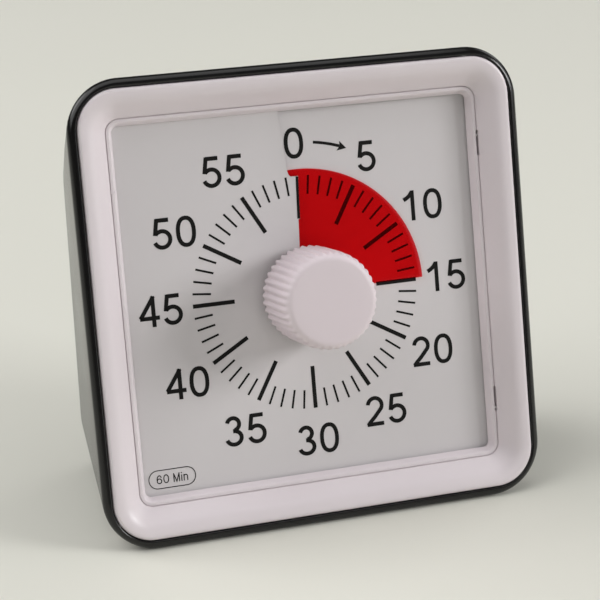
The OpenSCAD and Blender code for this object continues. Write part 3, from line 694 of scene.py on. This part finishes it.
# ---- materials ----


def node(tree, kind, **values):
    made = tree.nodes.new(kind)
    for key, value in values.items():
        if hasattr(made, key):
            setattr(made, key, value)
        else:
            made.inputs[key.replace("_", " ")].default_value = value
    return made


def textured(name, colour, rough, grain=9000, grain_depth=0.00001, mottle=0.03, cloud=60, metallic=0.0,
             coat=0.0, spread=0.06, specular=0.5):
    """A moulded, printed or drawn surface: cloudy colour, uneven gloss and a fine grain."""
    material = bpy.data.materials.new(name)
    material.use_nodes = True
    tree = material.node_tree
    shader = tree.nodes["Principled BSDF"]
    shader.inputs["Metallic"].default_value = metallic
    shader.inputs["Coat Weight"].default_value = coat
    shader.inputs["Coat Roughness"].default_value = 0.05
    shader.inputs["Specular IOR Level"].default_value = specular
    place = node(tree, "ShaderNodeTexCoord")
    clouds = node(tree, "ShaderNodeTexNoise", Scale=cloud, Detail=3.0, Roughness=0.55)
    tree.links.new(place.outputs["Object"], clouds.inputs["Vector"])
    tint = node(tree, "ShaderNodeMix", data_type="RGBA")
    tint.inputs[6].default_value = (*[c * (1 - mottle) for c in colour], 1)
    tint.inputs[7].default_value = (*[min(1, c * (1 + mottle)) for c in colour], 1)
    tree.links.new(clouds.outputs["Fac"], tint.inputs[0])
    tree.links.new(tint.outputs[2], shader.inputs["Base Color"])
    fine = node(tree, "ShaderNodeTexNoise", Scale=grain, Detail=2.0, Roughness=0.6)
    tree.links.new(place.outputs["Object"], fine.inputs["Vector"])
    gloss = node(tree, "ShaderNodeMapRange")
    gloss.inputs["To Min"].default_value = max(0.02, rough - spread)
    gloss.inputs["To Max"].default_value = min(1, rough + spread)
    tree.links.new(clouds.outputs["Fac"], gloss.inputs["Value"])
    tree.links.new(gloss.outputs["Result"], shader.inputs["Roughness"])
    bump = node(tree, "ShaderNodeBump", Strength=0.35, Distance=grain_depth)
    tree.links.new(fine.outputs["Fac"], bump.inputs["Height"])
    tree.links.new(bump.outputs["Normal"], shader.inputs["Normal"])
    return material


def film_material():
    """Thin coloured film: it lets its own colour through and mirrors a little of the room."""
    material = textured("film_red", (0.5, 0.006, 0.012), 0.28, grain=2500, mottle=0.05, cloud=90,
                        specular=0.4)
    tree = material.node_tree
    shader = tree.nodes["Principled BSDF"]
    clear = node(tree, "ShaderNodeBsdfTransparent")
    place = node(tree, "ShaderNodeTexCoord")
    clouds = node(tree, "ShaderNodeTexNoise", Scale=70.0, Detail=2.0)
    tree.links.new(place.outputs["Object"], clouds.inputs["Vector"])
    tint = node(tree, "ShaderNodeMix", data_type="RGBA")
    tint.inputs[6].default_value = (0.96, 0.26, 0.29, 1)
    tint.inputs[7].default_value = (0.975, 0.28, 0.31, 1)
    tree.links.new(clouds.outputs["Fac"], tint.inputs[0])
    tree.links.new(tint.outputs[2], clear.inputs["Color"])
    mixed = node(tree, "ShaderNodeMixShader")
    mixed.inputs[0].default_value = 0.05
    tree.links.new(clear.outputs["BSDF"], mixed.inputs[1])
    tree.links.new(shader.outputs["BSDF"], mixed.inputs[2])
    tree.links.new(mixed.outputs["Shader"], tree.nodes["Material Output"].inputs["Surface"])
    return material


def brushed(name, colour, rough):
    return textured(name, colour, rough, grain=5000, grain_depth=0.000006, mottle=0.08, cloud=400,
                    metallic=1.0, spread=0.08)


MATERIALS = {
    "bezel_white": textured("bezel_white", (0.77, 0.703, 0.73), 0.33, grain=7000, grain_depth=0.000008,
                            mottle=0.012, specular=0.45),
    "knob_white": textured("knob_white", (0.765, 0.675, 0.71), 0.42, grain=6000, mottle=0.015, specular=0.4),
    "case_black": textured("case_black", (0.007, 0.0065, 0.0065), 0.2, grain=5000, grain_depth=0.000006,
                           mottle=0.2, spread=0.05, specular=0.4),
    "dial_card": textured("dial_card", (0.676, 0.645, 0.655), 0.55, grain_depth=0.000012, mottle=0.02,
                          cloud=45, specular=0.35),
    "film_red": film_material(),
    "inner_white": textured("inner_white", (0.72, 0.72, 0.7), 0.5),
    "natural_plastic": textured("natural_plastic", (0.72, 0.67, 0.56), 0.45, mottle=0.04),
    "brass": brushed("brass", (0.72, 0.52, 0.22), 0.25),
    "steel": brushed("steel", (0.6, 0.61, 0.63), 0.28),
    "copper": textured("copper", (0.5, 0.17, 0.06), 0.3, grain=12000, grain_depth=0.00003, mottle=0.12,
                       cloud=900, metallic=0.6),
    "magnet": textured("magnet", (0.08, 0.08, 0.09), 0.5, metallic=0.5, mottle=0.1),
    "board_green": textured("board_green", (0.04, 0.2, 0.07), 0.3, coat=0.3, mottle=0.08, cloud=300),
    "part_black": textured("part_black", (0.015, 0.015, 0.016), 0.5, mottle=0.15),
    "slider_grey": textured("slider_grey", (0.55, 0.56, 0.57), 0.45, mottle=0.03),
    "battery_wrap": textured("battery_wrap", (0.04, 0.13, 0.36), 0.22, coat=0.4, mottle=0.05),
    "wire_red": textured("wire_red", (0.42, 0.015, 0.015), 0.4, mottle=0.05),
    "wire_blue": textured("wire_blue", (0.02, 0.06, 0.36), 0.4, mottle=0.05),
}
INK = textured("dial_ink", (0.009, 0.0085, 0.008), 0.55, mottle=0.1, cloud=500, specular=0.12)


def finish_piece(obj, slot, material=None):
    obj.data.materials.clear()
    obj.data.materials.append(material or MATERIALS[slot])


for part in frame["record"]["subparts"]:
    carried = frame["nodes"][part["node"]]
    carried.data.materials.clear()
    carried.data.materials.append(MATERIALS[part["material_slot"]])


def add(obj, body, slot, *nodes, material=None):
    finish_piece(obj, slot, material)
    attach(obj, body)
    if nodes:
        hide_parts(*nodes)


add(build_bezel(), "housing", "bezel_white", "front_bezel")
add(build_clips(), "housing", "inner_white")
add(build_case(), "housing", "case_black", "rear_case")
add(build_sheet(), "housing", "dial_card", "dial_sheet")
add(build_print(), "housing", "part_black", material=INK)
add(build_film(), "film", "film_red", "red_film")
add(build_knob(), "knob", "knob_white", "knob")

# ---- floor, light and camera ----


def build_floor():
    mesh = bpy.data.meshes.new("floor")
    reach = 3.0
    corners = [(-reach, -reach, 0), (reach, -reach, 0), (reach, reach, 0), (-reach, reach, 0)]
    mesh.from_pydata(corners, [], [(0, 1, 2, 3)])
    floor = bpy.data.objects.new("floor", mesh)
    bpy.context.scene.collection.objects.link(floor)
    mesh.materials.append(textured("floor_paper", (0.722, 0.715, 0.645), 0.75, grain=1500, mottle=0.006,
                                   cloud=8, specular=0.2))


def area_light(name, place, aim, size, power):
    data = bpy.data.lights.new(name, "AREA")
    data.shape = "SQUARE"
    data.size = size
    data.energy = power
    lamp = bpy.data.objects.new(name, data)
    lamp.location = place
    lamp.rotation_euler = (Vector(aim) - Vector(place)).to_track_quat("-Z", "Y").to_euler()
    bpy.context.scene.collection.objects.link(lamp)


def build_light():
    """Soft studio light: a key from the right, a broad box on the left, and weaker ones above and behind."""
    world = bpy.data.worlds.new("studio")
    world.use_nodes = True
    background = world.node_tree.nodes["Background"]
    background.inputs["Color"].default_value = (1.0, 1.0, 1.0, 1)
    background.inputs["Strength"].default_value = 0.058
    bpy.context.scene.world = world
    centre = (0, 0, 0.035)
    area_light("key", (0.957, -0.543, 0.514), centre, 0.4, 6.4)
    area_light("key_low", (1.089, -0.314, 0.429), centre, 0.6, 2.1)
    area_light("soft_left", (-0.9, 0.1, 0.9), centre, 1.2, 9.6)
    area_light("overhead", (0, 0.1, 1.2), centre, 1.0, 4.0)
    area_light("front", (0.1, -1.25, 0.5), centre, 0.8, 1.25)
    area_light("back_right", (0.9, 0.5, 0.6), centre, 0.5, 1.15)
    area_light("back_left", (-0.8, 0.6, 0.7), centre, 0.6, 3.0)


def build_camera():
    """The camera looks at the dial from the left and a little above."""
    distance = 339.2
    side, rise = math.radians(-16.98), math.radians(7.79)
    aim = face(-1.19, -1.15, 0)
    place = face(distance * math.cos(rise) * math.sin(side) + 0.35, distance * math.sin(rise) - 0.1,
                 distance * math.cos(rise) * math.cos(side))
    data = bpy.data.cameras.new("camera")
    data.lens = 119.5
    data.sensor_width = 36
    data.clip_start = 0.02
    camera = bpy.data.objects.new("camera", data)
    turn = (aim - place).to_track_quat("-Z", "Y").to_matrix() @ Matrix.Rotation(math.radians(0.207), 3, "Z")
    camera.matrix_world = Matrix.Translation(place) @ turn.to_4x4()
    bpy.context.scene.collection.objects.link(camera)
    bpy.context.scene.camera = camera


build_floor()
build_light()
build_camera()
bpy.context.scene.view_settings.view_transform = "Standard"
